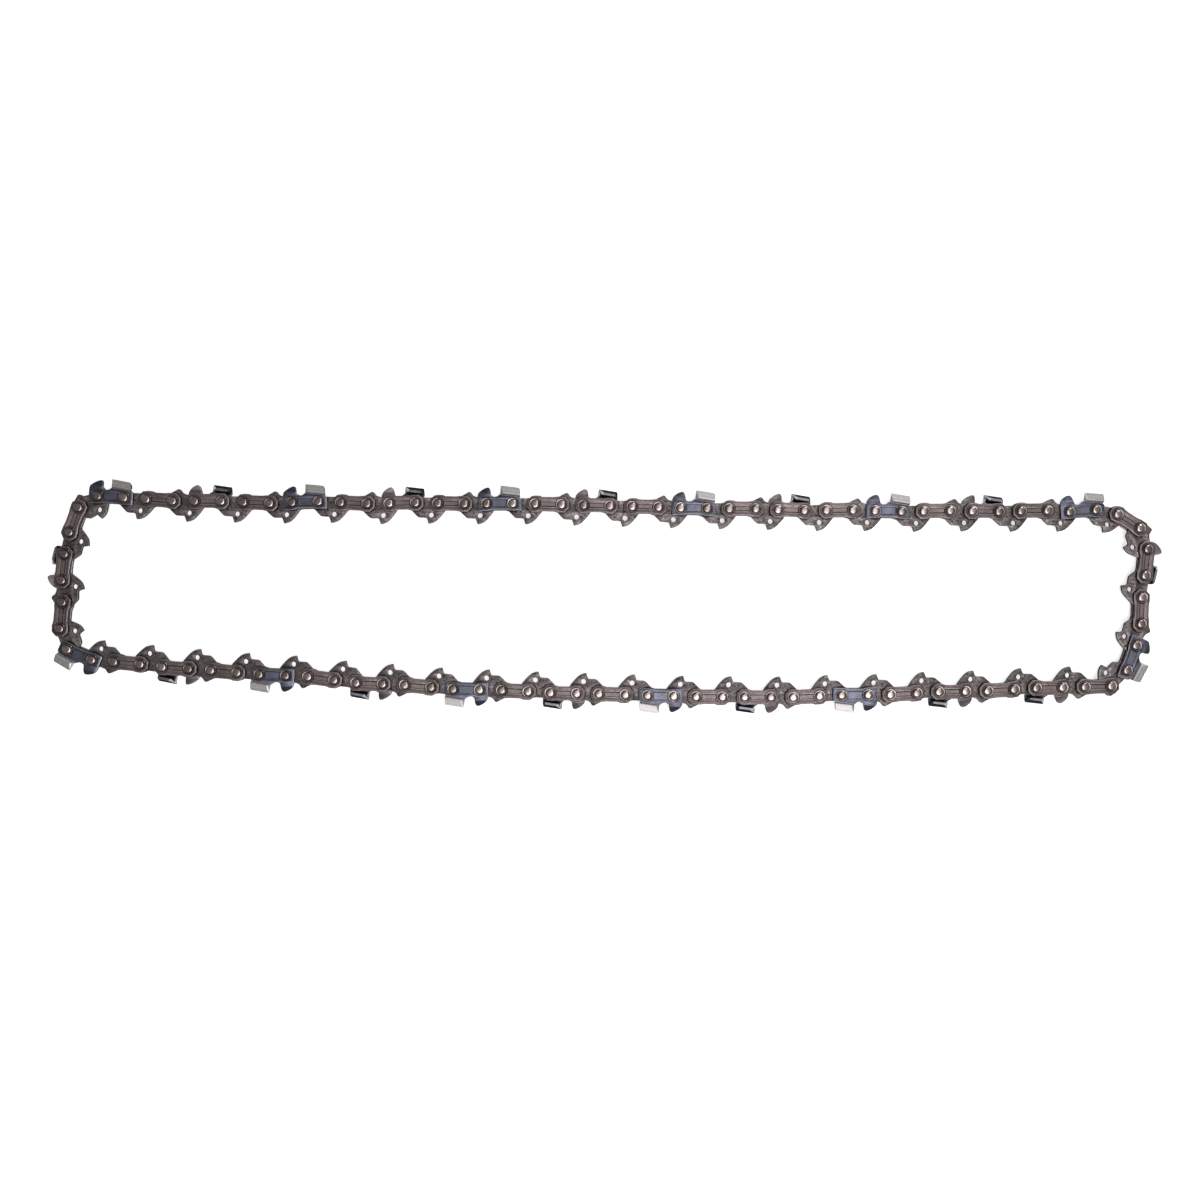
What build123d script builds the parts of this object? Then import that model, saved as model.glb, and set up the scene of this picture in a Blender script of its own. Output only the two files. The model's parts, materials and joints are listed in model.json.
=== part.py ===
from build123d import *
import cmath
import math
import os

# A closed loop of low-profile saw chain, laid on its side. Drive links (inner plates with a hooked
# tang) alternate with pairs of side links (tie straps and cutters), joined by spun rivets. The loop
# lies in the XY plane, seen from +Z, and rests on the outer faces of its right-hand cutters.
# In each link's own axes x runs clockwise along the loop, y points out of it and z is up.

# Chain sizes in millimetres
PITCH = 9.525
STRAP_SPAN = 10.35
GAUGE = 1.27
STRAP_THICK = 1.2
SIDE_GAP = 0.05
PIN_GAP = 0.06

# Rivets
HUB_DIA = 4.4
SHANK_DIA = 3.4
HEAD_DIA = 4.6
HEAD_RISE = 0.65

# Drive links
DRIVE_END = 3.3
DRIVE_BACK = 2.25
HUMP_HEIGHT = 3.4
BUMPER_HEIGHT = 4.8
SHOULDER_DEPTH = 5.6
TANG_DEPTH = 7.95
TANG_HOLE_DIA = 2.2
TANG_HOLE_DEPTH = 4.8

# Tie straps
STRAP_END = 3.1
WAIST_TOP = 2.85
WAIST_BOTTOM = 2.55
COIN_WIDTH = 2.1
COIN_DEPTH = 0.12

# Cutters
CUTTER_END = 3.46
GAUGE_HEIGHT = 6.4
GAUGE_STEP = 5.0
TOOTH_HEIGHT = 7.06
TOOTH_FRONT = 4.9
TOOTH_LENGTH = 8.0
TOOTH_WIDTH = 3.9
TOP_PLATE_THICK = 0.95
BEND_HEIGHT = 3.9
CUTTER_BULGE = 1.25
CLEARANCE_ANGLE = 7.5
FILE_DIA = 4.5
FILE_ANGLE = 30.0

# The lie of the loop. Slopes of the two long runs, in degrees, at stations from left to right, then
# the headings of each drive link and its strap round the two ends, counter-clockwise from +X.
RUN_LINKS = 19
TOP_SLOPES = ((0.0, -4.2), (0.08, -0.2), (0.4, -0.2), (0.5, -1.5), (0.72, -0.8), (1.0, 0.5))
BOTTOM_SLOPES = ((0.0, -3.2), (0.2, -5.2), (0.33, -2.0), (0.55, -1.5), (0.75, 2.0), (1.0, 2.6))
RIGHT_END = (
    (-3.3, 4.1),
    (-11.3, -32.1),
    (-70.0, -95.5),
    (-93.3, -87.1),
    (-102.5, -110.3),
    (-134.8, -178.2),
)
LEFT_END = (
    (-186.9, -185.1),
    (-184.9, -202.9),
    (-250.0, -275.5),
    (-272.8, -280.7),
    (-282.5, -290.3),
    (-328.7, -363.4),
)
CLOSING_LINK = 3
HANDS_SWAP = 27

# Levels out from the chain's middle plane, and the middle plane's height above the ground
DRIVE_SPAN = 2 * PITCH - STRAP_SPAN
INNER = GAUGE / 2 + SIDE_GAP
OUTER = INNER + STRAP_THICK
MIDDLE_Z = OUTER + max(CUTTER_BULGE, HEAD_RISE)


def plate_face(start, *steps):
    """A closed flat outline: a point is a straight run, a pair is an arc through its first point."""
    edges = []
    here = start
    for step in steps:
        if isinstance(step[0], tuple):
            via, there = step
            edges.append(ThreePointArc(here, via, there))
        else:
            there = step
            edges.append(Line(here, there))
        here = there
    edges.append(Line(here, start))
    return make_face(edges)


def drilled(plate, holes):
    """The plate with a round hole through it at each (x, y, diameter)."""
    for x, y, diameter in holes:
        plate = plate - Pos(x, y, 0) * Cylinder(diameter / 2, 4 * OUTER)
    return plate


def drive_link(back):
    """An inner plate on two rivet holes, with a hooked tang below. back is its upper outline."""
    rear = DRIVE_SPAN
    tang = rear - 3.4
    end_low = 0.82 * DRIVE_END
    end_in = math.sqrt(DRIVE_END**2 - end_low**2)
    hook_depth = SHOULDER_DEPTH + 0.3 * (TANG_DEPTH - SHOULDER_DEPTH)
    flank_depth = SHOULDER_DEPTH + 0.17 * (TANG_DEPTH - SHOULDER_DEPTH)
    belly_depth = SHOULDER_DEPTH + 0.8 * (TANG_DEPTH - SHOULDER_DEPTH)
    face = plate_face(
        (-end_in, -end_low),
        ((-DRIVE_END, 0), (-end_in, end_low)),
        *back,
        (rear + DRIVE_END, 2.4),
        (rear + DRIVE_END, -1.6),
        (rear + DRIVE_END - 0.5, -end_low),
        ((rear + 1.55, -0.71 * SHOULDER_DEPTH), (rear - 0.14, -flank_depth)),
        ((rear - 1.94, -belly_depth), (tang, -TANG_DEPTH)),
        (tang - 0.25, -TANG_DEPTH + 0.1),
        (tang - 0.8, -hook_depth),
        ((tang - 1.0, -SHOULDER_DEPTH - 0.2), (tang - 1.54, -SHOULDER_DEPTH - 0.05)),
        (1.05, -SHOULDER_DEPTH),
        (-0.45, -0.75 * SHOULDER_DEPTH),
    )
    hub_hole = HUB_DIA + 2 * PIN_GAP
    holes = ((0, 0, hub_hole), (rear, 0, hub_hole), (tang + 0.8, -TANG_HOLE_DEPTH, TANG_HOLE_DIA))
    return drilled(extrude(face, GAUGE / 2, both=True), holes)


def plain_back():
    """Upper outline of a drive link between cutters: a low back, then a hump over the rear rivet."""
    return ((2.2, DRIVE_BACK), (DRIVE_SPAN - 2.4, DRIVE_BACK)) + rear_hump()


def bumper_back():
    """Upper outline of a drive link ahead of a cutter: it ramps up to a bumper, then drops away."""
    front = (1.95, BUMPER_HEIGHT)
    drop = ((2.6, BUMPER_HEIGHT - 0.3), (3.6, HUMP_HEIGHT))
    return (front, drop, (DRIVE_SPAN - 2.6, DRIVE_BACK + 0.25)) + rear_hump()


def rear_hump():
    """The raised corner over a drive link's rear rivet."""
    return ((DRIVE_SPAN - 0.8, HUMP_HEIGHT), (DRIVE_SPAN + 2.2, HUMP_HEIGHT))


def tie_strap():
    """The upper side link: eight-sided ends on a waisted plate, coined between its rivets."""
    span = STRAP_SPAN
    end = STRAP_END
    flat = end * math.tan(math.pi / 8)
    face = plate_face(
        (-end, -flat),
        (-flat, -end),
        (flat, -end),
        (0.3 * span, -WAIST_BOTTOM),
        (0.7 * span, -WAIST_BOTTOM),
        (span - flat, -end),
        (span + flat, -end),
        (span + end, -flat),
        (span + end, flat),
        (span + flat, end),
        (span - flat, end),
        (0.7 * span, WAIST_TOP),
        (0.3 * span, WAIST_TOP),
        (flat, end),
        (-flat, end),
        (-end, flat),
    )
    coined = Box(span - HEAD_DIA - 1.5, COIN_WIDTH, 2 * COIN_DEPTH)
    plate = Pos(0, 0, INNER) * extrude(face, STRAP_THICK) - Pos(span / 2, 0, OUTER) * coined
    return drilled(plate, ((0, 0, SHANK_DIA), (span, 0, SHANK_DIA)))


def cutter():
    """The upper cutter: a side link with a depth gauge, and a tooth bent out and over the chain.

    The gauge is rounded in front, with a step behind its peak.
    The tooth is one bent section carried back along the clearance slope, then filed at an angle.
    """
    span = STRAP_SPAN
    fall = TOOTH_LENGTH * math.tan(math.radians(CLEARANCE_ANGLE))
    tooth_rear = TOOTH_FRONT + TOOTH_LENGTH
    base = plate_face(
        (-2.2, -2.6),
        ((span / 2, -2.3), (span + 2.2, -2.6)),
        (span + CUTTER_END, -1.2),
        (span + CUTTER_END, 1.2),
        (tooth_rear, BEND_HEIGHT - fall),
        (TOOTH_FRONT, BEND_HEIGHT),
        (TOOTH_FRONT, 2.75),
        (3.3, 2.7),
        ((2.4, 2.85), (2.0, 3.4)),
        (1.95, GAUGE_STEP - 0.6),
        (1.5, GAUGE_STEP),
        (0.5, GAUGE_STEP + 0.15),
        (0.4, GAUGE_HEIGHT - 0.2),
        (0.0, GAUGE_HEIGHT),
        ((-1.4, GAUGE_HEIGHT - 0.4), (-2.5, 0.74 * GAUGE_HEIGHT)),
        (-CUTTER_END + 0.15, 2.85),
        (-CUTTER_END, 0.5),
        (-CUTTER_END + 0.15, -1.3),
    )
    side = Pos(0, 0, INNER) * extrude(base, STRAP_THICK)
    flank_out = OUTER + CUTTER_BULGE
    crown = TOOTH_HEIGHT
    under = crown - TOP_PLATE_THICK
    section = [
        (BEND_HEIGHT, INNER),
        (BEND_HEIGHT + 0.9, flank_out - STRAP_THICK),
        (under, flank_out - STRAP_THICK),
        (under, flank_out - TOOTH_WIDTH),
        (crown, flank_out - TOOTH_WIDTH),
        (crown, flank_out - 1.0),
        (crown - 0.3, flank_out - 0.3),
        (crown - 1.0, flank_out),
        (BEND_HEIGHT + 0.6, flank_out),
        (BEND_HEIGHT, OUTER),
    ]
    corners = [(TOOTH_FRONT, y, z) for y, z in section]
    front = make_face(Polyline(*corners, close=True))
    tooth = extrude(front, dir=(TOOTH_LENGTH, -fall, 0), amount=math.hypot(TOOTH_LENGTH, fall))
    file_radius = FILE_DIA / 2
    file_axis = Vector(math.sin(math.radians(FILE_ANGLE)), 0, -math.cos(math.radians(FILE_ANGLE)))
    file_centre = Vector(TOOTH_FRONT - 1.0, crown + 0.1 * FILE_DIA - file_radius, flank_out)
    across = Vector(0, 1, 0).cross(file_axis)
    stroke = 3 * TOOTH_WIDTH
    file_plane = Plane(file_centre - file_axis * (stroke / 2), x_dir=across, z_dir=file_axis)
    ahead = -file_radius if across.X > 0 else file_radius
    file_face = Circle(file_radius) + Pos(ahead / 2, file_radius) * Rectangle(file_radius, FILE_DIA)
    file_sweep = extrude(file_plane * file_face, stroke)
    return drilled(side + tooth - file_sweep, ((0, 0, SHANK_DIA), (span, 0, SHANK_DIA)))


def rivet():
    """A turned rivet: thick hub, a shank in each side link, and a spun head at both ends."""
    hub = HUB_DIA / 2
    shank = SHANK_DIA / 2
    head = HEAD_DIA / 2
    stub = 0.65 * head
    upper = [
        (0, OUTER + HEAD_RISE),
        (0.6 * stub, OUTER + 0.95 * HEAD_RISE),
        (stub, OUTER + 0.75 * HEAD_RISE),
        (stub + 0.12, OUTER + 0.42 * HEAD_RISE),
        (stub + 0.4, OUTER + 0.62 * HEAD_RISE),
        (head, OUTER + 0.2 * HEAD_RISE),
        (head, OUTER),
        (shank, OUTER),
        (shank, INNER),
        (hub, INNER),
    ]
    lower = [(r, -z) for r, z in reversed(upper)]
    turned = Polyline(*[(r, 0, z) for r, z in upper + lower], close=True)
    return revolve(make_face(turned), Axis.Z)


def slope_at(stations, share):
    """The slope at a share of the run's length, straight between the stations."""
    for (start, low), (end, high) in zip(stations, stations[1:]):
        if share <= end:
            return low + (high - low) * (share - start) / (end - start)
    return stations[-1][1]


def headings(end_turn, run_turn):
    """(drive heading, strap heading) of every link, clockwise from the left end of the top run.

    Facing links of the two runs take the mean of their slopes, so that each turning pair is parallel,
    and the links between them make up the difference. end_turn and run_turn close the loop.
    """
    top = []
    bottom = []
    for i in range(RUN_LINKS):
        share = i / (RUN_LINKS - 1)
        upper = slope_at(TOP_SLOPES, share)
        lower = slope_at(BOTTOM_SLOPES, share)
        half = (upper - lower) / 2
        turning = i % 2 == 0
        top_slope = upper - half if turning else upper + half
        bottom_slope = lower + half if turning else lower - half + run_turn
        top.append((top_slope, top_slope))
        bottom.append((bottom_slope - 180, bottom_slope - 180))
    bottom.reverse()
    right = list(RIGHT_END)
    left = list(LEFT_END)
    for end, turn in ((right, end_turn), (left, -end_turn)):
        drive, strap = end[CLOSING_LINK]
        end[CLOSING_LINK] = (drive + turn, strap + turn)
    return top + right + bottom + left


def step_along(heading, length):
    """A step in the loop's plane, as a complex number."""
    return cmath.rect(length, math.radians(heading))


def loop_gap(end_turn, run_turn):
    """Where the last link's rear pivot falls from the first link's front pivot."""
    pairs = headings(end_turn, run_turn)
    return sum(step_along(a, DRIVE_SPAN) + step_along(b, STRAP_SPAN) for a, b in pairs)


def closed_headings():
    """The headings with the two small turns that bring the loop's ends together, by Newton's steps."""
    end_turn = 0.0
    run_turn = 0.0
    nudge = 0.01
    for _ in range(12):
        gap = loop_gap(end_turn, run_turn)
        by_end = (loop_gap(end_turn + nudge, run_turn) - gap) / nudge
        by_run = (loop_gap(end_turn, run_turn + nudge) - gap) / nudge
        area = by_end.real * by_run.imag - by_end.imag * by_run.real
        end_turn -= (gap.real * by_run.imag - gap.imag * by_run.real) / area
        run_turn -= (by_end.real * gap.imag - by_end.imag * gap.real) / area
    return headings(end_turn, run_turn)


def link_kind(number):
    """Every second side link is a cutter. The hands alternate, with two alike where they swap over."""
    if number % 2:
        return "tie"
    left_turn = 0 if number < HANDS_SWAP else 2
    return "left_cutter" if number % 4 == left_turn else "right_cutter"


# The stamped and turned shapes, each made once
plain_drive = drive_link(plain_back())
bumper_drive = drive_link(bumper_back())
upper_strap = tie_strap()
lower_strap = mirror(upper_strap, about=Plane.XY)
left_cutter = cutter()
right_cutter = mirror(left_cutter, about=Plane.XY)
pin = rivet()
DRIVES = {"tie": plain_drive, "left_cutter": bumper_drive, "right_cutter": bumper_drive}
UPPERS = {"tie": upper_strap, "left_cutter": left_cutter, "right_cutter": upper_strap}
LOWERS = {"tie": lower_strap, "left_cutter": lower_strap, "right_cutter": right_cutter}

# Lay the links one after another round the loop. A link is a drive link and the riveted side links
# after it.
links = {}
pivots = []
here = 0j
for number, (drive_heading, strap_heading) in enumerate(closed_headings(), start=1):
    kind = link_kind(number)
    joint = here + step_along(drive_heading, DRIVE_SPAN)
    drive_place = Pos(here.real, here.imag, MIDDLE_Z) * Rot(0, 0, drive_heading)
    strap_place = Pos(joint.real, joint.imag, MIDDLE_Z) * Rot(0, 0, strap_heading)
    rear_pin = strap_place * Pos(STRAP_SPAN, 0, 0)
    pieces = [
        drive_place * DRIVES[kind],
        strap_place * UPPERS[kind],
        strap_place * LOWERS[kind],
        strap_place * pin,
        rear_pin * pin,
    ]
    links[f"link_{number:02d}_{kind}"] = [piece.solid() for piece in pieces]
    pivots.append(here)
    here = joint + step_along(strap_heading, STRAP_SPAN)

# Centre the loop on the origin and write each link
reach = Compound([solid for solids in links.values() for solid in solids]).bounding_box()
centring = Pos(-reach.center().X, -reach.center().Y, -reach.min.Z)
pivots = [(p.real - reach.center().X, p.imag - reach.center().Y) for p in pivots]
os.makedirs("parts", exist_ok=True)
for name, solids in links.items():
    export_step(Compound([centring * solid for solid in solids]), f"parts/{name}.step")
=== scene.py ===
import json
import math

import bpy
import numpy as np
from mathutils.geometry import tessellate_polygon
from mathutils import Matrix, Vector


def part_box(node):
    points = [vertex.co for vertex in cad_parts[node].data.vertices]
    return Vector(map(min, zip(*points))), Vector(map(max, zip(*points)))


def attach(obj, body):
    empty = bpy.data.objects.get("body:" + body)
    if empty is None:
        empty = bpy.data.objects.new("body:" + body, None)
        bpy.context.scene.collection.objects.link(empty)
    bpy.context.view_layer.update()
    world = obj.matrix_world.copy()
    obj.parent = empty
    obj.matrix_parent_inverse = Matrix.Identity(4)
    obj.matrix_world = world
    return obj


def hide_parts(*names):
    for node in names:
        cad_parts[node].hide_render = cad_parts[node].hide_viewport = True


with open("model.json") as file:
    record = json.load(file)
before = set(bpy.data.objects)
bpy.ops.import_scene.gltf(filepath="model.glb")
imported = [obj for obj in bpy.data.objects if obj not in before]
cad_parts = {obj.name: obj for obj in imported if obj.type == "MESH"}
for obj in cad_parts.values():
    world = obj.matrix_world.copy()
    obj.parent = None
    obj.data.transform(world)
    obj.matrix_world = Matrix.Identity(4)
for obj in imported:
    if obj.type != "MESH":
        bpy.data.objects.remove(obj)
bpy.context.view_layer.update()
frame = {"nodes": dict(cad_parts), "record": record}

# Rivets: turned steel pins with a thick hub in the drive link and a thin shank in each side link.
# Both ends are spun over into a collar round a domed crown, which leaves a groove between them that is
# painted dark as shade.
# Each side link pair carries two, and their places are read off the imported links.
MM = 0.001
LINK_NAMES = sorted(frame["nodes"])
CARRIER = {node: body for body, nodes in frame["record"]["behaviour"]["bodies"].items() for node in nodes}
LEVEL_SLACK = 0.01 * MM
RIVET_SEGMENTS = 18
HEAD_RADIUS = 2.3
SHANK_RADIUS = 1.7
HUB_RADIUS = 2.2
CROWN_HEIGHT = 2.535
PLATE_INNER = 0.685
PLATE_OUTER = 1.885
SHARP_ANGLE = math.radians(32)
RIVET_DARK = ((0.13, 0.10, 0.095), (0.26, 0.205, 0.195))
RIVET_PINK = ((0.36, 0.296, 0.284), (0.60, 0.51, 0.49))
RIVET_GROOVE_SHADE = (0.018, 0.014, 0.013)
CROWN_TONES = (0.3, 1)
TONE_SEED = 50


def crown_tips(node):
    """The peaks of a link's two rivets: the extreme points on the side where no tooth stands out."""
    mesh = frame["nodes"][node].data
    points = np.empty(3 * len(mesh.vertices))
    mesh.vertices.foreach_get("co", points)
    points = points.reshape(-1, 3)
    height = points[:, 2]
    level = height.min() if "left_cutter" in node else height.max()
    tips = points[np.abs(height - level) < LEVEL_SLACK, :2]
    far = np.linalg.norm(tips - tips[0], axis=1) > HEAD_RADIUS * MM
    return tips[~far].mean(axis=0), tips[far].mean(axis=0)


def ring_quads(rings, count, start=0):
    """Quads from each ring of points to the ring below it, on a grid of numbers that wraps round."""
    grid = start + np.arange(rings * count).reshape(rings, count)
    onward = np.roll(grid, -1, axis=1)
    return np.stack([grid[:-1], grid[1:], onward[1:], onward[:-1]], axis=-1).reshape(-1, 4).tolist()


def turned(profile, pole):
    """A turned shape: radius, height and groove mark from the top down, swept round z, shut at +-pole."""
    radius, height, groove = np.array(profile).T[:, :, None]
    angle = np.linspace(0, 2 * np.pi, RIVET_SEGMENTS, endpoint=False)
    rings = np.stack(
        [radius * np.cos(angle), radius * np.sin(angle), np.repeat(height, RIVET_SEGMENTS, axis=1)],
        axis=-1,
    )
    count = len(profile) * RIVET_SEGMENTS
    points = np.vstack([rings.reshape(-1, 3), [[0, 0, pole], [0, 0, -pole]]])
    marks = np.append(np.repeat(groove, RIVET_SEGMENTS), [0, 0])
    here = np.arange(RIVET_SEGMENTS)
    onward = np.roll(here, -1)
    last = count - RIVET_SEGMENTS
    top = np.stack([np.full_like(here, count), here, onward], axis=1).tolist()
    bottom = np.stack([np.full_like(here, count + 1), last + onward, last + here], axis=1).tolist()
    return points, ring_quads(len(profile), RIVET_SEGMENTS) + top + bottom, {"groove": marks}


def laid(points, start, end):
    """Points from a link's own millimetre axes, turned onto the line from start to end, in metres."""
    along = (end - start) / np.linalg.norm(end - start)
    across = np.array([-along[1], along[0]])
    flat = start + MM * (points[:, :1] * along + points[:, 1:2] * across)
    return np.column_stack([flat, middle_height + MM * points[:, 2]])


def toned(shape, tone):
    """The shape with one tone mark all over, by which like pieces differ a little in colour."""
    points, faces, marks = shape
    return points, faces, {**marks, "tone": np.full(len(points), tone)}


def joined(*shapes):
    """Several shapes as one, with the later ones' point numbers moved past the earlier ones'."""
    points = np.vstack([shape[0] for shape in shapes])
    starts = np.cumsum([0] + [len(shape[0]) for shape in shapes])
    faces = [[start + i for i in face] for start, shape in zip(starts, shapes) for face in shape[1]]
    marks = {key: np.concatenate([shape[2][key] for shape in shapes]) for key in shapes[0][2]}
    return points, faces, marks


def add_piece(name, shape, start, end, link, slot, finish):
    """A mesh piece laid from start to end, which rides with its link's body and hides its node's imported
    part.

    The mark local keeps each point's place in the piece's own millimetre axes.
    """
    points, faces, marks = shape
    mesh = bpy.data.meshes.new(name)
    mesh.from_pydata(laid(points, start, end).tolist(), [], faces)
    mesh.attributes.new("local", "FLOAT_VECTOR", "POINT").data.foreach_set("vector", points.ravel())
    for key, values in marks.items():
        mesh.attributes.new(key, "FLOAT", "POINT").data.foreach_set("value", values)
    mesh.polygons.foreach_set("use_smooth", np.ones(len(mesh.polygons), dtype=bool))
    mesh.set_sharp_from_angle(angle=SHARP_ANGLE)
    mesh.materials.append(finish)
    piece = bpy.data.objects.new(name, mesh)
    bpy.context.scene.collection.objects.link(piece)
    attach(piece, CARRIER[link])
    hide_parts(link)


def shader_kit(name):
    """A new finish, its Principled shader, and two helpers that add a node and join two sockets."""
    finish = bpy.data.materials.new(name)
    finish.use_nodes = True
    tree = finish.node_tree
    shader = tree.nodes["Principled BSDF"]

    def node(kind, **values):
        made = tree.nodes.new(kind)
        for key, value in values.items():
            if key in made.inputs:
                made.inputs[key].default_value = value
            else:
                setattr(made, key, value)
        return made

    return finish, shader, node, tree.links.new


def blended(node, link, share, first, second):
    """A colour that goes from first to second with share. Each is a plain colour or a socket."""
    mix = node("ShaderNodeMix", data_type="RGBA")
    link(share, mix.inputs[0])
    for socket, value in ((mix.inputs[6], first), (mix.inputs[7], second)):
        if isinstance(value, tuple):
            socket.default_value = value + (1,)
        else:
            link(value, socket)
    return mix.outputs[2]


def stretched(node, link, value, low, high, to_low, to_high):
    """The value moved from the span low to high onto the span to_low to to_high, and held there."""
    limits = {"From Min": low, "From Max": high, "To Min": to_low, "To Max": to_high}
    span = node("ShaderNodeMapRange", **limits)
    link(value, span.inputs["Value"])
    return span.outputs["Result"]


def rivet_finish():
    """Bronze-toned steel: stains, crowns from dark to pink by their tone, painted shade in the groove."""
    finish, shader, node, link = shader_kit("rivet_steel")
    place = node("ShaderNodeTexCoord").outputs["Object"]
    stain = node("ShaderNodeTexNoise", Scale=700.0, Detail=4.0, Roughness=0.65)
    link(place, stain.inputs["Vector"])
    groove = node("ShaderNodeAttribute", attribute_name="groove").outputs["Fac"]
    tone = node("ShaderNodeAttribute", attribute_name="tone").outputs["Fac"]
    stains = stretched(node, link, stain.outputs["Fac"], 0.35, 0.65, 0, 1)
    dark = blended(node, link, stains, *RIVET_DARK)
    pink = blended(node, link, stains, *RIVET_PINK)
    bronze = blended(node, link, tone, dark, pink)
    # Painted shade: near black in the groove, by the groove mark.
    link(blended(node, link, groove, bronze, RIVET_GROOVE_SHADE), shader.inputs["Base Color"])
    link(stretched(node, link, stain.outputs["Fac"], 0.3, 0.7, 0.32, 0.22), shader.inputs["Roughness"])
    bump = node("ShaderNodeBump", Strength=0.25, Distance=0.00006)
    link(stain.outputs["Fac"], bump.inputs["Height"])
    link(bump.outputs["Normal"], shader.inputs["Normal"])
    shader.inputs["Metallic"].default_value = 0.9
    return finish


middle_height = np.mean([corner[2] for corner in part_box(LINK_NAMES[0])])
tips = np.array([crown_tips(name) for name in LINK_NAMES])
onward_tips = np.roll(tips, -1, axis=0)
to_next = np.linalg.norm(tips[:, :, None] - onward_tips[:, None], axis=-1).min(axis=2)
rear_tip = to_next.argmin(axis=1)
every_link = np.arange(len(LINK_NAMES))
front_rivet = tips[every_link, 1 - rear_tip]
rear_rivet = tips[every_link, rear_tip]

# The third column is how much painted shade the point takes: in the groove, on the crown's side and round
# the collar.
head = [
    (0.55, CROWN_HEIGHT - 0.012, 0.0),
    (1.0, CROWN_HEIGHT - 0.045, 0.0),
    (1.32, CROWN_HEIGHT - 0.115, 0.0),
    (1.48, CROWN_HEIGHT - 0.22, 0.1),
    (1.55, CROWN_HEIGHT - 0.38, 0.5),
    (1.58, PLATE_OUTER + 0.08, 1.0),
    (1.70, PLATE_OUTER + 0.04, 1.0),
    (1.80, PLATE_OUTER + 0.06, 0.7),
    (2.06, PLATE_OUTER + 0.16, 0.4),
    (2.16, PLATE_OUTER + 0.16, 0.4),
    (2.25, PLATE_OUTER + 0.08, 0.7),
    (HEAD_RADIUS, PLATE_OUTER, 1.0),
    (SHANK_RADIUS, PLATE_OUTER, 1.0),
    (SHANK_RADIUS, PLATE_INNER, 1.0),
    (HUB_RADIUS, PLATE_INNER, 1.0),
]
rivet = turned(head + [(radius, -height, mark) for radius, height, mark in reversed(head)], CROWN_HEIGHT)
rivet_steel = rivet_finish()
tones = np.random.default_rng(TONE_SEED)
for number, link in enumerate(LINK_NAMES, start=1):
    front = front_rivet[number - 1]
    rear = rear_rivet[number - 1]
    span = np.array([np.linalg.norm(rear - front) / MM, 0, 0])
    rear_one = (rivet[0] + span, rivet[1], rivet[2])
    pair = joined(*(toned(one, tones.uniform(*CROWN_TONES)) for one in (rivet, rear_one)))
    add_piece(f"rivets_{number:02d}", pair, front, rear, link, "rivet_steel", rivet_steel)

# Drive links: inner plates stamped from 1.27 mm steel and dark oxide coated. Each has two hub holes,
# a hooked tang with an oil hole that runs in the bar's groove, and a hump over its rear rivet.
# Those ahead of a cutter also have a bumper that leads wood up to its depth gauge.
CORNER_POINTS = 5
HOLE_POINTS = 24
DRIVE_EDGE = 0.12
DRIVE_HALF = 0.635
DRIVE_SPAN = 8.7
HUB_HOLE_RADIUS = 2.26
OIL_HOLE = (6.1, -4.55)
OIL_HOLE_RADIUS = 0.98
BEVEL_DEPTH = 0.6
WALL_START = 1.2
COIN_INSET = 3
# Painted shade on the drive link next to the strap ends, round each rivet axis.
DRIVE_RING_SHADE = (DRIVE_SPAN, 3.15, 3.75)
PIT_AND_SHADE_BLACK = (0.014, 0.011, 0.010)
NO_SHINE = (0.1, 0.1, 0.1)
DRIVE_UNDERSIDE = [
    (-3.3, -1.2, 1.9),
    (-0.45, -4.2, 0.5),
    (1.05, -5.6, 0.5),
    (4.35, -5.66, 0.6),
    (5.05, -8.0, 0.1),
    (6.3, -7.74, 0.6),
    (7.6, -7.2, 0.7),
    (DRIVE_SPAN, -6.25, 0.8),
    (DRIVE_SPAN + 1.35, -4.7, 0.8),
    (DRIVE_SPAN + 2.65, -3.0, 0.6),
    (DRIVE_SPAN + 3.3, -1.6, 0.5),
    (DRIVE_SPAN + 3.3, 2.4, 0.6),
    (DRIVE_SPAN + 2.2, 3.4, 0.7),
    (DRIVE_SPAN - 0.8, 3.4, 0.8),
]
PLAIN_BACK = [(DRIVE_SPAN - 2.4, 2.25, 0.8), (2.2, 2.25, 0.6), (-3.3, 2.85, 1.6)]
BUMPER_BACK = [
    (DRIVE_SPAN - 2.6, 2.45, 0.8),
    (3.55, 3.2, 0.7),
    (2.6, 4.6, 0.35),
    (1.9, 4.85, 0.3),
    (-1.8, 2.8, 0.7),
    (-3.3, 2.2, 1.0),
]


def rounded(corners):
    """A closed outline from (x, y, radius) corners. Each is a quadratic curve between two cut points."""
    corners = np.array(corners)
    points = corners[:, :2]
    before = np.roll(points, 1, axis=0) - points
    after = np.roll(points, -1, axis=0) - points
    reach = np.minimum(np.linalg.norm(before, axis=1), np.linalg.norm(after, axis=1))
    cut = np.minimum(corners[:, 2], 0.49 * reach)[:, None]
    start = points + cut * before / np.linalg.norm(before, axis=1, keepdims=True)
    end = points + cut * after / np.linalg.norm(after, axis=1, keepdims=True)
    t = np.linspace(0, 1, CORNER_POINTS)[None, :, None]
    curve = (1 - t) ** 2 * start[:, None] + 2 * t * (1 - t) * points[:, None] + t**2 * end[:, None]
    return curve.reshape(-1, 2)


def hole(x, y, radius):
    """A round hole's outline, clockwise so that the metal is on its left."""
    angle = np.linspace(0, -2 * np.pi, HOLE_POINTS, endpoint=False)
    return np.stack([x + radius * np.cos(angle), y + radius * np.sin(angle)], axis=1)


def moved_out(outline, amount):
    """A closed outline moved off the metal on its left, along the mean of each point's edge normals."""
    ahead = np.roll(outline, -1, axis=0) - outline
    normal = np.stack([ahead[:, 1], -ahead[:, 0]], axis=1)
    normal /= np.linalg.norm(normal, axis=1, keepdims=True)
    mean = normal + np.roll(normal, 1, axis=0)
    return outline + amount * mean / np.linalg.norm(mean, axis=1, keepdims=True)


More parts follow.
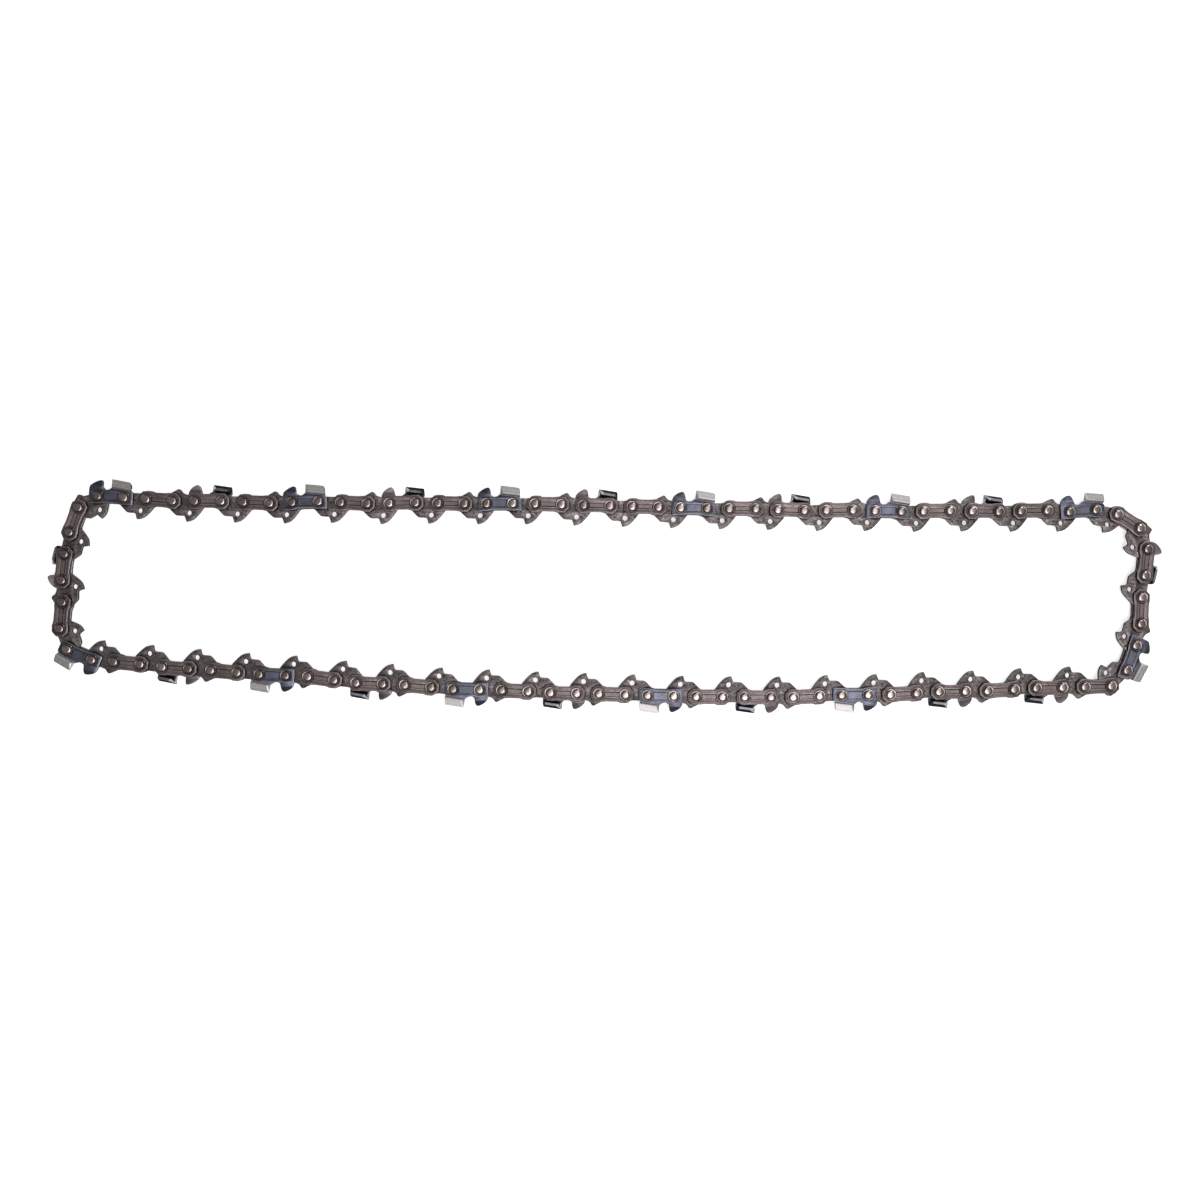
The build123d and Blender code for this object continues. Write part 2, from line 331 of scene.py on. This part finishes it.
def capped(loops, numbers, facing):
    """Triangles over the area inside the first loop and outside the rest, turned up (1) or down (-1)."""
    flat = np.vstack(loops)
    corners = np.array(tessellate_polygon([[(x, y, 0.0) for x, y in loop] for loop in loops]))
    first, second, third = (flat[corners[:, k]] for k in range(3))
    one = second - first
    two = third - first
    wrong = facing * (one[:, 0] * two[:, 1] - one[:, 1] * two[:, 0]) < 0
    corners[wrong] = corners[wrong][:, ::-1]
    return np.concatenate(numbers)[corners].tolist()


def stamping(outline, holes, low, high, edge, coin=None, coin_depth=0.0, coin_mark=1.0):
    """A stamped plate: its outline and holes carried from high to low, with worn edge bevels.

    Each loop is six rings: inset on the face, the bevel's foot, then the wall, and the same below. The
    bevel and the wall start at shares of edge.
    coin is an outline that is pressed into the upper face by coin_depth, and coin_mark is how plainly
    its edge shows. The marks say where metal is worn bare, where painted shade darkens the sheared walls
    and the coin's groove, and where it is the inner face.
    """
    # Columns: how far out, height, wear, painted shade, inner face. The sheared walls get painted shade.
    levels = np.array([
        (-edge, high, 0, 0, 0),
        (0, high - BEVEL_DEPTH * edge, 1, 0.2, 0),
        (0, high - WALL_START * edge, 0, 1, 0),
        (0, low + WALL_START * edge, 0, 1, 0),
        (0, low + BEVEL_DEPTH * edge, 1, 0.2, 0),
        (-edge, low, 0, 0, 1),
    ])
    points = []
    ring_marks = []
    faces = []
    tops = []
    bottoms = []
    start = 0
    for loop in [outline, *holes]:
        count = len(loop)
        rings = [np.column_stack([moved_out(loop, out), np.full(count, z)]) for out, z, *_ in levels]
        points += rings
        ring_marks.append(np.repeat(levels[:, 2:], count, axis=0))
        faces += ring_quads(len(levels), count, start)
        tops.append((rings[0][:, :2], start + np.arange(count)))
        start += len(levels) * count
        bottoms.append((rings[-1][:, :2], start - count + np.arange(count)))
    if coin is not None:
        count = len(coin)
        floor = moved_out(coin, COIN_INSET * coin_depth)
        for ring, drop in ((coin, 0), (moved_out(coin, coin_depth), coin_depth), (floor, coin_depth)):
            points.append(np.column_stack([ring, np.full(count, high - drop)]))
        # The coin's rim is worn pale and its groove gets painted shade.
        coin_rings = coin_mark * np.array([(0.9, 0, 0), (0, 1, 0), (0.15, 0, 0)])
        ring_marks.append(np.repeat(coin_rings, count, axis=0))
        faces += ring_quads(3, count, start)
        faces += capped([floor], [start + 2 * count + np.arange(count)], 1)
        tops.append((coin, start + np.arange(count)))
    faces += capped(*zip(*tops), 1)
    faces += capped(*zip(*bottoms), -1)
    wear, wall, inner = np.vstack(ring_marks).T
    return np.vstack(points), faces, {"wear": wear, "wall": wall, "inner": inner}


def shade_rings(node, link, span, inner, outer):
    """1 within inner millimetres of either rivet axis, falling to 0 at outer: where painted shade falls
    next to the strap ends and rivet heads.
    """
    local = node("ShaderNodeAttribute", attribute_name="local").outputs["Vector"]
    flat = node("ShaderNodeVectorMath", operation="MULTIPLY")
    flat.inputs[1].default_value = (1, 1, 0)
    link(local, flat.inputs[0])
    nearest = node("ShaderNodeMath", operation="MINIMUM")
    for socket, along in zip(nearest.inputs, (0, span)):
        gap = node("ShaderNodeVectorMath", operation="DISTANCE")
        gap.inputs[1].default_value = (along, 0, 0)
        link(flat.outputs["Vector"], gap.inputs[0])
        link(gap.outputs["Value"], socket)
    return stretched(node, link, nearest.outputs[0], inner, outer, 1, 0)


def oxide_finish(name, pale, deep, bare, fleck_scale, fleck_share, ring_shade):
    """Oxide-coated steel: clouds of two browns, dark pits and pale flecks, bare edges, and painted shade on
    the sheared walls and round the rivets.

    fleck_share is how plainly the flecks show. ring_shade is the span between rivets and the two radii of
    the painted shade round them.
    """
    finish, shader, node, link = shader_kit(name)
    place = node("ShaderNodeTexCoord").outputs["Object"]
    cloud = node("ShaderNodeTexNoise", Scale=170.0, Detail=5.0, Roughness=0.6)
    fleck = node("ShaderNodeTexNoise", Scale=fleck_scale, Detail=2.0, Roughness=0.5)
    for texture in (cloud, fleck):
        link(place, texture.inputs["Vector"])
    wear, wall, tone = (
        node("ShaderNodeAttribute", attribute_name=mark).outputs["Fac"] for mark in ("wear", "wall", "tone")
    )
    mixed = node("ShaderNodeMath", operation="MULTIPLY_ADD")
    link(tone, mixed.inputs[0])
    mixed.inputs[1].default_value = 0.5
    link(stretched(node, link, cloud.outputs["Fac"], 0.35, 0.65, 0, 0.5), mixed.inputs[2])
    shade = blended(node, link, mixed.outputs[0], deep, pale)
    pits = stretched(node, link, fleck.outputs["Fac"], 0.57, 0.67, 0, fleck_share)
    shade = blended(node, link, pits, shade, PIT_AND_SHADE_BLACK)
    scuffs = stretched(node, link, fleck.outputs["Fac"], 0.41, 0.3, 0, 0.5 * fleck_share)
    shade = blended(node, link, scuffs, shade, bare)
    rubbed = node("ShaderNodeMath", operation="MULTIPLY")
    link(wear, rubbed.inputs[0])
    link(stretched(node, link, cloud.outputs["Fac"], 0.3, 0.65, 0.2, 0.8), rubbed.inputs[1])
    shade = blended(node, link, rubbed.outputs[0], shade, bare)
    # Painted shade: near black on the sheared walls and in rings round the rivets and strap ends, with the
    # reflection dimmed there too.
    shading = node("ShaderNodeMath", operation="MAXIMUM")
    link(stretched(node, link, wall, 0, 1, 0, 0.9), shading.inputs[0])
    link(stretched(node, link, shade_rings(node, link, *ring_shade), 0, 1, 0, 0.85), shading.inputs[1])
    link(blended(node, link, shading.outputs[0], shade, PIT_AND_SHADE_BLACK), shader.inputs["Base Color"])
    link(blended(node, link, shading.outputs[0], (1, 1, 1), NO_SHINE), shader.inputs["Specular Tint"])
    link(stretched(node, link, fleck.outputs["Fac"], 0.3, 0.7, 0.36, 0.54), shader.inputs["Roughness"])
    bump = node("ShaderNodeBump", Strength=0.35, Distance=0.00008, invert=True)
    link(fleck.outputs["Fac"], bump.inputs["Height"])
    link(bump.outputs["Normal"], shader.inputs["Normal"])
    shader.inputs["Metallic"].default_value = 0.55
    return finish


drive_holes = [
    hole(0, 0, HUB_HOLE_RADIUS),
    hole(DRIVE_SPAN, 0, HUB_HOLE_RADIUS),
    hole(*OIL_HOLE, OIL_HOLE_RADIUS),
]
plain_drive, bumper_drive = (
    stamping(rounded(DRIVE_UNDERSIDE + back), drive_holes, -DRIVE_HALF, DRIVE_HALF, DRIVE_EDGE)
    for back in (PLAIN_BACK, BUMPER_BACK)
)
drive_steel = oxide_finish(
    "drive_link_steel",
    pale=(0.20, 0.162, 0.163),
    deep=(0.085, 0.070, 0.070),
    bare=(0.40, 0.36, 0.36),
    fleck_scale=1150.0,
    fleck_share=0.9,
    ring_shade=DRIVE_RING_SHADE,
)
for number, link in enumerate(LINK_NAMES, start=1):
    piece = toned(plain_drive if link.endswith("tie") else bumper_drive, tones.uniform())
    ends = (rear_rivet[number - 2], front_rivet[number - 1])
    add_piece(f"drive_link_{number:02d}", piece, *ends, link, "drive_link_steel", drive_steel)

# Tie straps: waisted side plates with eight-sided ends, stamped from 1.2 mm steel and browned.
# A band between the rivets is coined a little lower. They come in pairs, or face a cutter.
STRAP_SPAN = 10.35
STRAP_END = 3.1
STRAP_FLAT = STRAP_END * math.tan(math.pi / 8)
WAIST_TOP = 2.85
WAIST_BOTTOM = 2.55
WAIST_SHARE = 0.3
STRAP_CORNER = 0.18
STRAP_EDGE = 0.24
COIN_HALF_LENGTH = 3.15
COIN_CORNER = 0.2
COIN_HALF_WIDTH = 1.05
COIN_DEPTH = 0.14
# Painted shade round the rivet heads, on the straps and on the cutters.
STRAP_RING_SHADE = (STRAP_SPAN, 2.3, 2.7)


def strap_outline():
    """The strap's corners, anticlockwise: the lower edge, the rear end, the upper edge, the front."""
    far = STRAP_SPAN - STRAP_FLAT
    waist = WAIST_SHARE * STRAP_SPAN
    corners = [
        (-STRAP_END, -STRAP_FLAT),
        (-STRAP_FLAT, -STRAP_END),
        (STRAP_FLAT, -STRAP_END),
        (waist, -WAIST_BOTTOM),
        (STRAP_SPAN - waist, -WAIST_BOTTOM),
        (far, -STRAP_END),
        (STRAP_SPAN + STRAP_FLAT, -STRAP_END),
        (STRAP_SPAN + STRAP_END, -STRAP_FLAT),
        (STRAP_SPAN + STRAP_END, STRAP_FLAT),
        (STRAP_SPAN + STRAP_FLAT, STRAP_END),
        (far, STRAP_END),
        (STRAP_SPAN - waist, WAIST_TOP),
        (waist, WAIST_TOP),
        (STRAP_FLAT, STRAP_END),
        (-STRAP_FLAT, STRAP_END),
        (-STRAP_END, STRAP_FLAT),
    ]
    return rounded([(x, y, STRAP_CORNER) for x, y in corners])


def coined(half_length, half_width):
    """The clockwise outline of a band between the rivets that is pressed lower."""
    middle = STRAP_SPAN / 2
    signs = ((-1, -1), (-1, 1), (1, 1), (1, -1))
    return rounded([(middle + half_length * x, half_width * y, COIN_CORNER) for x, y in signs])


def flipped(shape):
    """The same shape on the chain's other side: mirrored in z, with its faces turned round."""
    points, faces, marks = shape
    return points * np.array([1, 1, -1]), [face[::-1] for face in faces], marks


coin_outline = coined(COIN_HALF_LENGTH, COIN_HALF_WIDTH)
shank_holes = [hole(0, 0, SHANK_RADIUS), hole(STRAP_SPAN, 0, SHANK_RADIUS)]
upper_strap = stamping(
    strap_outline(), shank_holes, PLATE_INNER, PLATE_OUTER, STRAP_EDGE, coin_outline, COIN_DEPTH
)
lower_strap = flipped(upper_strap)
strap_steel = oxide_finish(
    "tie_strap_steel",
    pale=(0.215, 0.163, 0.164),
    deep=(0.10, 0.077, 0.078),
    bare=(0.52, 0.44, 0.44),
    fleck_scale=2300.0,
    fleck_share=0.4,
    ring_shade=STRAP_RING_SHADE,
)
for number, link in enumerate(LINK_NAMES, start=1):
    ends = (front_rivet[number - 1], rear_rivet[number - 1])
    for side, strap, hand in (("upper", upper_strap, "left"), ("lower", lower_strap, "right")):
        if hand in link:
            continue
        piece = toned(strap, tones.uniform())
        add_piece(f"{side}_strap_{number:02d}", piece, *ends, link, "tie_strap_steel", strap_steel)

# Cutters: side plates with a depth gauge whose crest is bent in, a gullet, and a tooth that is bent
# out, then over the chain. They are hard plated slate blue outside and oxide brown inside, with the
# flank and the filed front bright. Left-hand ones stand towards the viewer.
CUTTER_OUTLINE = [
    (-3.4, -2.8, 0.5),
    (0.7, -2.8, 0.9),
    (2.6, -2.3, 0.9),
    (7.75, -2.3, 0.9),
    (9.6, -2.75, 0.9),
    (13.75, -2.75, 0.4),
    (13.75, 1.6, 0.4),
    (13.1, 2.55, 0.3),
    (5.25, 3.64, 0.12),
    (4.92, 3.28, 0.3),
    (4.5, 2.98, 0.3),
    (3.9, 2.74, 0.4),
    (3.0, 2.65, 0.4),
    (2.25, 2.85, 0.3),
    (1.9, 3.4, 0.3),
    (1.75, 4.3, 0.1),
    (-2.95, 4.4, 0.1),
    (-3.35, 3.4, 0.3),
    (-3.45, 2.6, 0.3),
]
CUTTER_EDGE = 0.26
CUTTER_COIN_HALF_LENGTH = 3.1
CUTTER_COIN_HALF_WIDTH = 1.6
CUTTER_COIN_MARK = 0.35
GAUGE_FOOT = 4.0
GAUGE_LEAN = math.tan(math.radians(24))
GAUGE_EDGE = 0.2
GAUGE_SHADE = 0.62
GAUGE_OUTLINE = [
    (-3.05, GAUGE_FOOT, 0.1),
    (1.8, GAUGE_FOOT, 0.1),
    (1.7, 4.8, 0.3),
    (1.55, 5.5, 0.3),
    (1.3, 6.05, 0.25),
    (0.85, 6.45, 0.3),
    (0.1, 6.4, 0.4),
    (-1.3, 5.75, 0.6),
    (-2.55, 4.8, 0.5),
]
FLANK_OUT = 3.135
FLANK_IN = FLANK_OUT - 1.2
TOOTH_INNER_EDGE = -0.765
TOP_PLATE = 7.06
TOP_UNDER = 6.11
EDGE_TOP = 5.65
EDGE_UNDER = 4.75
FLANK_LEAN = 0.3
SINK = 0.06
TOOTH_SECTION = [
    (3.1, PLATE_INNER + SINK, 0.1),
    (3.75, PLATE_INNER + SINK, 0.4),
    (4.6, FLANK_IN, 0.5),
    (5.35, FLANK_IN, 0.1),
    (TOP_UNDER, FLANK_IN, 0.3),
    (EDGE_UNDER, TOOTH_INNER_EDGE, 0.08),
    (EDGE_TOP, TOOTH_INNER_EDGE, 0.1),
    (EDGE_TOP + 0.09, TOOTH_INNER_EDGE + 0.22, 0.08),
    (TOP_PLATE - 0.09, FLANK_OUT - FLANK_LEAN - 0.22, 0.08),
    (TOP_PLATE, FLANK_OUT - FLANK_LEAN, 0.08),
    (6.4, FLANK_OUT - 0.78 * FLANK_LEAN, 0.1),
    (5.7, FLANK_OUT - 0.53 * FLANK_LEAN, 0.1),
    (4.95, FLANK_OUT - 0.28 * FLANK_LEAN, 0.1),
    (4.15, FLANK_OUT, 0.5),
    (3.6, PLATE_OUTER - SINK, 0.3),
    (3.1, PLATE_OUTER - SINK, 0.1),
]
# Shares of painted shade on the section's corners: inside the bend and flank, under the top plate and on
# its upper face.
SHADE_SHARES = (0.3, 0.4, 0.6, 0.8, 1, 0.2, 0, 0.9, 0.9, 0, 0, 0, 0, 0, 0, 0)
BRIGHT_SHARES = (0, 0, 0, 0, 0, 0.3, 0.3, 0, 0, 1, 0.85, 1, 0.85, 1, 0.6, 0)
TOOTH_START = 4.9
TOOTH_END = 13.3
TOOTH_SHOULDER = 5.9
SHOULDER_CUT = 0.3
REAR_CUT = 1.0
GULLET_X = 4.25
GULLET_Y = 5.5
GULLET_RADIUS = 2.15
GULLET_BASE = 3.7
FILED_FOOT = 4.0
FILED_RISE = 1.5
FILED_SLANT = math.tan(math.radians(30))
FILED_BEVEL = 0.12
BASE_BEVEL = 0.6
BEVEL_TOP = 5.9
BEVEL_FALL = 1.5
FILED_SHINE = 0.9
CLEARANCE_SLOPE = math.tan(math.radians(7.5))
TOOTH_STATIONS = [
    (0.0, -0.1, 0, 0.6, 1),
    (0.012, 0, 0.3, 0.3, 1),
    (0.03, 0, 0, 0, 1),
    (0.93, 0, 0, 0, 1),
    (0.985, 0, 0.2, 0, 0.8),
    (0.996, 0, 0.2, 0, 0.7),
    (1.0, 0, 0, 0, 0),
]
SLATE = ((0.097, 0.0990, 0.1310), (0.170, 0.1735, 0.232))
SILVER = ((0.40, 0.375, 0.372), (0.58, 0.55, 0.545))
BROWN = ((0.13, 0.106, 0.106), (0.24, 0.198, 0.198))
BRIGHT_EDGE = (0.58, 0.58, 0.60)
CUTTER_SHADE = (0.02, 0.02, 0.023)


def depth_gauge():
    """The gauge's crest, sunk in the side plate at its foot, and leaning in by its height above it.

    Its outer face is darkened by painted shade, as much as GAUGE_SHADE says.
    """
    points, faces, marks = stamping(
        rounded(GAUGE_OUTLINE), [], PLATE_INNER + SINK, PLATE_OUTER - SINK, GAUGE_EDGE
    )
    marks["wall"] = np.maximum(marks["wall"], GAUGE_SHADE * (1 - marks["inner"]))
    lean = GAUGE_LEAN * (points[:, 1:2] - GAUGE_FOOT)
    return points - lean * np.array([0, 0, 1]), faces, marks


def tooth():
    """The bent section carried forward from the tooth's end to the filed front, falling to the rear.

    The front is a round gullet's arc. Above the foot the top slants back by the filing angle, the
    more the further in it is, and the flank is bevelled back to its outer face, the more the lower
    it is. The end is cut back at the top as a parabola, and straight towards the inner edge. A
    station is its share of the way to the front, how far the section moves out, its wear, its painted
    shade on the end walls, and how much of the painted shade inside and under the top plate it takes.
    The filed front is bright all over.
    """
    section = rounded(TOOTH_SECTION)
    rings = []
    for share, out, *_ in TOOTH_STATIONS:
        y, z = moved_out(section, out).T
        arc = np.sqrt(GULLET_RADIUS**2 - (np.maximum(y, GULLET_BASE) - GULLET_Y) ** 2)
        slant = FILED_SLANT * np.clip((y - FILED_FOOT) / FILED_RISE, 0, 1)
        bevel = FILED_BEVEL + BASE_BEVEL * np.clip((BEVEL_TOP - y) / BEVEL_FALL, 0, 1)
        bevel = bevel * np.clip((z - FLANK_IN) / (FLANK_OUT - FLANK_IN), 0, 1)
        inward = np.maximum(FLANK_IN - z, 0)
        front = GULLET_X + arc + slant * inward + bevel
        above = np.clip((y - TOOTH_SHOULDER) / (TOP_PLATE - TOOTH_SHOULDER), 0, 1)
        end = TOOTH_END - SHOULDER_CUT * above**2 - REAR_CUT * inward / (FLANK_IN - TOOTH_INNER_EDGE)
        x = end + share * (front - end)
        rings.append(np.column_stack([x, y - CLEARANCE_SLOPE * (x - TOOTH_START), z]))
    count = len(section)
    faces = ring_quads(len(TOOTH_STATIONS), count)
    faces += capped([section], [np.arange(count)], 1)
    faces += capped([section], [(len(TOOTH_STATIONS) - 1) * count + np.arange(count)], -1)
    wear, end_shade, inside = np.repeat(np.array(TOOTH_STATIONS)[:, 2:], count, axis=0).T
    dark, bright = (
        np.tile(np.repeat(shares, CORNER_POINTS), len(TOOTH_STATIONS))
        for shares in (SHADE_SHARES, BRIGHT_SHARES)
    )
    wear = wear * (0.2 + 0.8 * bright)
    wear[-count:] = FILED_SHINE
    # Painted shade: on the end walls by station, and on the inner corners by their shares, except at the
    # filed front.
    marks = {"wear": wear, "wall": np.maximum(end_shade, inside * dark), "inner": np.zeros(len(wear))}
    return np.vstack(rings), faces, marks, bright


def plated_finish():
    """Hard plating: slate sides with faint grinding lines, silver flanks, bright edges, brown inside, and
    painted shade on the walls, inside the tooth and round the rivets.
    """
    finish, shader, node, link = shader_kit("cutter_steel")
    place = node("ShaderNodeTexCoord").outputs["Object"]
    cloud = node("ShaderNodeTexNoise", Scale=230.0, Detail=4.0, Roughness=0.55)
    link(place, cloud.inputs["Vector"])
    streaks = node("ShaderNodeMapping")
    streaks.inputs["Scale"].default_value = (5.0, 0.6, 1.0)
    link(place, streaks.inputs["Vector"])
    grind = node("ShaderNodeTexNoise", Scale=1300.0, Detail=2.0)
    link(streaks.outputs["Vector"], grind.inputs["Vector"])
    wear, wall, inner, ground = (
        node("ShaderNodeAttribute", attribute_name=mark).outputs["Fac"]
        for mark in ("wear", "wall", "inner", "ground")
    )
    clouds = stretched(node, link, cloud.outputs["Fac"], 0.35, 0.65, 0, 1)
    slate = blended(node, link, clouds, *SLATE)
    lines = stretched(node, link, grind.outputs["Fac"], 0.3, 0.7, 0, 1)
    silver = blended(node, link, lines, *SILVER)
    brown = blended(node, link, clouds, *BROWN)
    surface = blended(node, link, ground, blended(node, link, inner, slate, brown), silver)
    rubbed = stretched(node, link, wear, 0, 1, 0, 0.8)
    surface = blended(node, link, rubbed, surface, BRIGHT_EDGE)
    # Painted shade: near black on the walls, inside the tooth and in rings round the rivets, with the
    # reflection dimmed there too.
    shading = node("ShaderNodeMath", operation="MAXIMUM")
    link(stretched(node, link, wall, 0, 1, 0, 0.9), shading.inputs[0])
    link(stretched(node, link, shade_rings(node, link, *STRAP_RING_SHADE), 0, 1, 0, 0.8), shading.inputs[1])
    link(blended(node, link, shading.outputs[0], surface, CUTTER_SHADE), shader.inputs["Base Color"])
    link(blended(node, link, shading.outputs[0], (1, 1, 1), NO_SHINE), shader.inputs["Specular Tint"])
    rough = node("ShaderNodeMath", operation="MULTIPLY_ADD")
    link(ground, rough.inputs[0])
    rough.inputs[1].default_value = -0.02
    link(stretched(node, link, grind.outputs["Fac"], 0.3, 0.7, 0.40, 0.54), rough.inputs[2])
    link(rough.outputs[0], shader.inputs["Roughness"])
    metal = node("ShaderNodeMath", operation="MULTIPLY")
    link(stretched(node, link, ground, 0, 1, 0.95, 0.7), metal.inputs[0])
    link(stretched(node, link, inner, 0, 1, 1, 0.5), metal.inputs[1])
    link(metal.outputs[0], shader.inputs["Metallic"])
    bump = node("ShaderNodeBump", Strength=0.15, Distance=0.00004)
    link(grind.outputs["Fac"], bump.inputs["Height"])
    link(bump.outputs["Normal"], shader.inputs["Normal"])
    return finish


side_plate = stamping(
    rounded(CUTTER_OUTLINE), shank_holes, PLATE_INNER, PLATE_OUTER, CUTTER_EDGE,
    coined(CUTTER_COIN_HALF_LENGTH, CUTTER_COIN_HALF_WIDTH), COIN_DEPTH, CUTTER_COIN_MARK
)
under_gauge = side_plate[0][:, 1] > GAUGE_FOOT
side_plate[2]["wear"][under_gauge] = 0
*bent_tooth, tooth_ground = tooth()
left_cutter = joined(side_plate, depth_gauge(), bent_tooth)
plate_ground = np.zeros(len(left_cutter[0]) - len(tooth_ground))
left_cutter[2]["ground"] = np.append(plate_ground, tooth_ground)
right_cutter = flipped(left_cutter)
cutter_steel = plated_finish()
for number, link in enumerate(LINK_NAMES, start=1):
    if link.endswith("tie"):
        continue
    hand = "left" if "left" in link else "right"
    piece = left_cutter if hand == "left" else right_cutter
    ends = (front_rivet[number - 1], rear_rivet[number - 1])
    add_piece(f"{hand}_cutter_{number:02d}", piece, *ends, link, "cutter_steel", cutter_steel)

# Ground: a matt pale table that the loop lies on. The camera and mirrors see it nearly white, and it
# keeps the loop's faint shadow.
GROUND_HALF = 6.0
GROUND_GLOW = 0.66
FAR_GLOW = 0.87
GLOW_SPAN = (0.4, 1.6)
GROUND_COLOUR = (0.8, 0.8, 0.8)
GROUND_ROUGHNESS = 0.9


def seen_by_rays(node, link):
    """1 for rays from the camera, mirrors and glass, 0 for the soft light that falls on the object."""
    path = node("ShaderNodeLightPath")
    seen = path.outputs["Is Camera Ray"]
    for other in ("Is Glossy Ray", "Is Transmission Ray"):
        either = node("ShaderNodeMath", operation="MAXIMUM")
        link(seen, either.inputs[0])
        link(path.outputs[other], either.inputs[1])
        seen = either.outputs[0]
    return seen


def ground_finish():
    """A matt pale table top, plus a glow that only the camera, mirrors and glass see.

    The glow rises with the distance from the middle, where the lamps' light falls off.
    """
    finish, shader, node, link = shader_kit("ground")
    shader.inputs["Base Color"].default_value = GROUND_COLOUR + (1,)
    shader.inputs["Roughness"].default_value = GROUND_ROUGHNESS
    shader.inputs["Emission Color"].default_value = (1, 1, 1, 1)
    glow = node("ShaderNodeMath", operation="MULTIPLY")
    link(seen_by_rays(node, link), glow.inputs[0])
    distance = node("ShaderNodeVectorMath", operation="LENGTH")
    link(node("ShaderNodeTexCoord").outputs["Object"], distance.inputs[0])
    level = stretched(node, link, distance.outputs["Value"], *GLOW_SPAN, GROUND_GLOW, FAR_GLOW)
    link(level, glow.inputs[1])
    link(glow.outputs[0], shader.inputs["Emission Strength"])
    return finish


ground_mesh = bpy.data.meshes.new("ground")
corner_signs = np.array([(-1, -1), (1, -1), (1, 1), (-1, 1)])
ground_points = np.column_stack([GROUND_HALF * corner_signs, np.zeros(4)])
ground_mesh.from_pydata(ground_points.tolist(), [], [(0, 1, 2, 3)])
ground_mesh.materials.append(ground_finish())
ground = bpy.data.objects.new("ground", ground_mesh)
bpy.context.scene.collection.objects.link(ground)

# Light: a wide soft panel above and to the right, a lamp low behind the loop's right end that makes
# the glints, a panel on the near side that brightens the near run, and an even pale room.
PANEL_PLACE = (0.25, 0.0, 1.0)
PANEL_SIZE = (0.86, 0.36)
PANEL_WATTS = 2.5
GLINT_PLACE = (0.72, 1.08, 0.76)
GLINT_SIZE = (0.5, 0.5)
GLINT_WATTS = 7.5
FRONT_PLACE = (0.13, -0.40, 0.9)
FRONT_SIZE = (0.7, 0.6)
FRONT_WATTS = 4.6
ROOM_LIGHT = 0.17


def soft_lamp(name, place, size, watts):
    """A flat lamp that points at the middle of the loop. Its second side lies along its slope."""
    lamp = bpy.data.lights.new(name, "AREA")
    lamp.shape = "RECTANGLE"
    lamp.size, lamp.size_y = size
    lamp.energy = watts
    holder = bpy.data.objects.new(name, lamp)
    holder.location = place
    across, along, up = place
    holder.rotation_euler = (math.atan2(math.hypot(across, along), up), 0, math.atan2(across, -along))
    bpy.context.scene.collection.objects.link(holder)


soft_lamp("soft_panel", PANEL_PLACE, PANEL_SIZE, PANEL_WATTS)
soft_lamp("glint_lamp", GLINT_PLACE, GLINT_SIZE, GLINT_WATTS)
soft_lamp("front_panel", FRONT_PLACE, FRONT_SIZE, FRONT_WATTS)
room = bpy.data.worlds.new("room")
room.use_nodes = True
room_nodes = room.node_tree.nodes
room_background = room_nodes["Background"]
room_background.inputs["Color"].default_value = (1, 1, 1, 1)
room_level = room_nodes.new("ShaderNodeMapRange")
room_level.inputs["To Min"].default_value = ROOM_LIGHT
camera_ray = room_nodes.new("ShaderNodeLightPath").outputs["Is Camera Ray"]
room.node_tree.links.new(camera_ray, room_level.inputs["Value"])
room.node_tree.links.new(room_level.outputs["Result"], room_background.inputs["Strength"])
bpy.context.scene.world = room

# Camera: straight down over the loop's middle, near enough for a slight perspective, and turned a
# trace so that the loop lies as in the picture.
CAMERA_PLACE = (-0.0018, -0.0010, 0.405)
CAMERA_TURN = math.radians(0.137)
CAMERA_LENS = 30.65
SENSOR_WIDTH = 36
NEAREST_SEEN = 0.01

camera_data = bpy.data.cameras.new("camera")
camera_data.lens = CAMERA_LENS
camera_data.sensor_width = SENSOR_WIDTH
camera_data.clip_start = NEAREST_SEEN
camera = bpy.data.objects.new("camera", camera_data)
camera.location = CAMERA_PLACE
camera.rotation_euler = (0, 0, CAMERA_TURN)
bpy.context.scene.collection.objects.link(camera)
bpy.context.scene.camera = camera
bpy.context.scene.view_settings.view_transform = "Standard"
